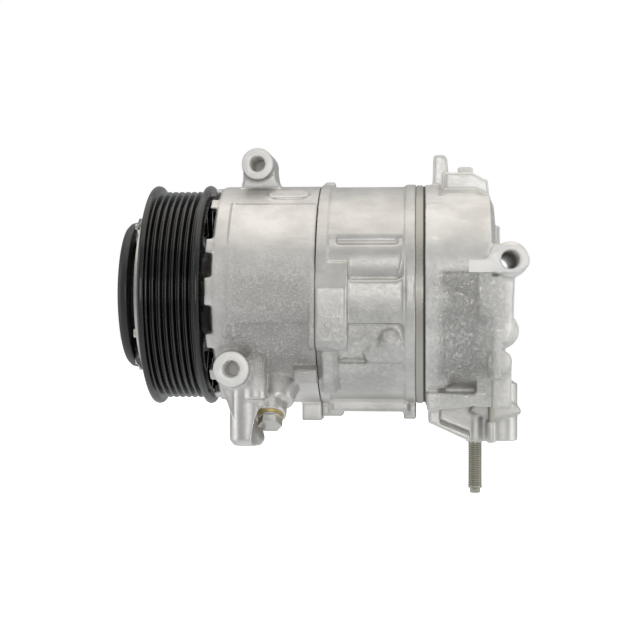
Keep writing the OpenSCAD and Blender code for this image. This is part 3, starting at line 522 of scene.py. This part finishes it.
def cut_with(piece, tool, operation):
    mesh = bpy.data.meshes.new(piece.name + "_tool")
    tool.to_mesh(mesh)
    tool.free()
    mesh.materials.append(piece.data.materials[0])
    other = bpy.data.objects.new(mesh.name, mesh)
    bpy.context.scene.collection.objects.link(other)
    step = piece.modifiers.new("tool", "BOOLEAN")
    step.operation = operation
    step.object = other
    step.solver = "EXACT"
    bake_modifiers(piece)
    bpy.data.objects.remove(other)


STUD_X = 165.3
STUD_R = 4.0
STUD_PITCH = 1.25
STUD_ROOT = 0.62


def build_stud():
    """The stud with a real helical thread below the port block and a plain pilot tip."""
    around, rows_per_turn = 48, 10
    top, tip, bottom = -83.2, -109.4, -112.5
    rows = [(-63.0, 0), (-63.0, 3.8), (top - 0.8, 3.8)]
    count = int((top - tip) / STUD_PITCH * rows_per_turn)
    threaded = [top - 0.8 - (top - 0.8 - tip) * i / count for i in range(count + 1)]
    vertices, faces = [], []
    levels = [(z, r, 0.0) for z, r in rows] + [(z, STUD_R, 1.0) for z in threaded]
    levels += [(-110.0, 3.1, 0.0), (-110.1, 2.9, 0.0), (-112.0, 2.9, 0.0), (bottom, 2.4, 0.0),
               (bottom, 0, 0.0)]
    for z, radius, thread in levels:
        fade = min(1.0, (z - tip) / 1.5, (top - z) / 1.5) if thread else 0.0
        for i in range(around):
            turn = i / around
            phase = (z / STUD_PITCH + turn) % 1.0
            depth = STUD_ROOT * fade * max(0.0, 1 - abs(phase - 0.5) * 2.6)
            r = max(radius - depth, 1e-5)
            angle = 2 * math.pi * turn
            vertices.append(mm(STUD_X + r * math.cos(angle), r * math.sin(angle), z))
    for row in range(len(levels) - 1):
        for i in range(around):
            a, b = row * around + i, row * around + (i + 1) % around
            faces.append((a, b, b + around, a + around))
    new_piece("port_stud_threaded", vertices, faces, "port_stud", "casing", 50)


def soften_edges(node, width):
    """Welds a small part's mesh and breaks its sharp edges, as wear and plating do."""
    obj = NODES[node]
    weld = obj.modifiers.new("weld", "WELD")
    weld.merge_threshold = 2e-6
    edge = obj.modifiers.new("edge", "BEVEL")
    edge.width = width
    edge.segments = 2
    edge.limit_method = "ANGLE"
    edge.angle_limit = math.radians(40)
    edge.harden_normals = True


build_pulley()
build_stud()
for node, obj in NODES.items():
    shade_by_angle(obj.data, 35)
EDGE_WIDTH = 0.25 * MM
for node in ("oil_plug", "hub_plate", "drive_ring", "centre_nut", "relief_valve_body", "control_valve_body",
             "top_cap", "hub_cover"):
    soften_edges(node, EDGE_WIDTH)


def shortening_spring(node):
    """A copy of a valve's spring in its own material, fixed to the casing in place of the spring node."""
    piece = bpy.data.objects.new(node + "_coil", NODES[node].data.copy())
    bpy.context.scene.collection.objects.link(piece)
    dress(piece, MATERIALS[SLOTS[node]])
    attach(piece, "casing")
    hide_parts(node)
    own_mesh(piece)


# The control valve's plunger moves away from its spring, so that spring should lengthen instead.
shortening_spring("control_valve_spring")
shortening_spring("check_valve_spring")
shortening_spring("relief_valve_spring")

# ------------------------------------------------------------------ camera, floor and light

CAMERA_AT = Vector(mm(137, -806, -14.6))
AIM_AT = Vector(mm(77, 0, -14.6))
LENS = 79.4

camera_data = bpy.data.cameras.new("camera")
camera_data.lens = LENS
camera_data.sensor_width = 36
camera = bpy.data.objects.new("camera", camera_data)
bpy.context.scene.collection.objects.link(camera)
camera.location = CAMERA_AT
camera.rotation_euler = (AIM_AT - CAMERA_AT).to_track_quat("-Z", "Y").to_euler()
bpy.context.scene.camera = camera


def softbox(name, at, aim, size, power, color=(1, 1, 1)):
    data = bpy.data.lights.new(name, "AREA")
    data.shape = "RECTANGLE"
    data.size, data.size_y = size
    data.energy = power
    data.color = color
    lamp = bpy.data.objects.new(name, data)
    bpy.context.scene.collection.objects.link(lamp)
    lamp.location = at
    lamp.rotation_euler = (Vector(aim) - Vector(at)).to_track_quat("-Z", "Y").to_euler()
    return lamp


middle = Vector(mm(80, 0, -10))
softbox("top", middle + Vector((0, -0.05, 0.8)), middle, (1.5, 1.1), 3.3, (1.0, 0.92, 0.82))
softbox("front", middle + Vector((0.25, -1.3, 0.12)), middle, (0.9, 0.5), 2.6, (1.0, 0.99, 0.97))
softbox("left", middle + Vector((-0.9, -0.25, 0.05)), middle, (0.22, 0.9), 0.9)
softbox("right", middle + Vector((0.95, -0.2, 0.05)), middle, (0.22, 0.9), 0.9)

HORIZON_LIGHT = 0.34
ZENITH_LIGHT = 0.62
GROUND_LIGHT = 0.85
SIDE_LIGHT = 0.5

world = bpy.data.worlds.new("studio")
bpy.context.scene.world = world
world.use_nodes = True
tree = world.node_tree
background = tree.nodes["Background"]
seen = tree.nodes.new("ShaderNodeBackground")
seen.inputs["Color"].default_value = (1, 1, 1, 1)
seen.inputs["Strength"].default_value = 1.0
coords = tree.nodes.new("ShaderNodeTexCoord")
split = tree.nodes.new("ShaderNodeSeparateXYZ")
tree.links.new(coords.outputs["Generated"], split.inputs[0])


def add_up(*values):
    total = values[0]
    for value in values[1:]:
        step = tree.nodes.new("ShaderNodeMath")
        step.operation = "ADD"
        tree.links.new(total, step.inputs[0])
        tree.links.new(value, step.inputs[1])
        total = step.outputs[0]
    return total


def ramp(value, start, end, low, high):
    step = tree.nodes.new("ShaderNodeMapRange")
    for key, number in (("From Min", start), ("From Max", end), ("To Min", low), ("To Max", high)):
        step.inputs[key].default_value = number
    tree.links.new(value, step.inputs["Value"])
    return step.outputs["Result"]


sideways = tree.nodes.new("ShaderNodeMath")
sideways.operation = "ABSOLUTE"
tree.links.new(split.outputs["X"], sideways.inputs[0])
above = ramp(split.outputs["Z"], 0, 0.9, HORIZON_LIGHT, ZENITH_LIGHT)
below = ramp(split.outputs["Z"], 0, -0.8, 0, GROUND_LIGHT - HORIZON_LIGHT)
beside = ramp(sideways.outputs[0], 0.82, 0.96, 0, SIDE_LIGHT)
tree.links.new(add_up(above, below, beside), background.inputs["Strength"])
background.inputs["Color"].default_value = (0.97, 0.985, 1.0, 1)
path = tree.nodes.new("ShaderNodeLightPath")
blend = tree.nodes.new("ShaderNodeMixShader")
tree.links.new(path.outputs["Is Camera Ray"], blend.inputs[0])
tree.links.new(background.outputs[0], blend.inputs[1])
tree.links.new(seen.outputs[0], blend.inputs[2])
tree.links.new(blend.outputs[0], tree.nodes["World Output"].inputs["Surface"])

FLOOR_HALF = 6.0
FLOOR_DROP = 0.0005
floor_mesh = bpy.data.meshes.new("floor")
half = FLOOR_HALF
floor_z = cad_low.z - FLOOR_DROP
floor_mesh.from_pydata([(-half, -half, floor_z), (half, -half, floor_z), (half, half, floor_z),
                        (-half, half, floor_z)], [], [(0, 1, 2, 3)])
floor = bpy.data.objects.new("floor", floor_mesh)
bpy.context.scene.collection.objects.link(floor)
paper = Shader("floor_paper", (0.92, 0.92, 0.92), 0.0, 0.9)
paper.color(paper.mix(paper.noise(3, 2), (0.91, 0.91, 0.91), (0.93, 0.93, 0.93)))
paper.bsdf.inputs["Emission Color"].default_value = (1, 1, 1, 1)
paper.bsdf.inputs["Emission Strength"].default_value = 0.8
floor_mesh.materials.append(paper.material)
floor.visible_diffuse = False
floor.visible_glossy = False

scene = bpy.context.scene
scene.view_settings.view_transform = "Standard"
scene.view_settings.look = "None"
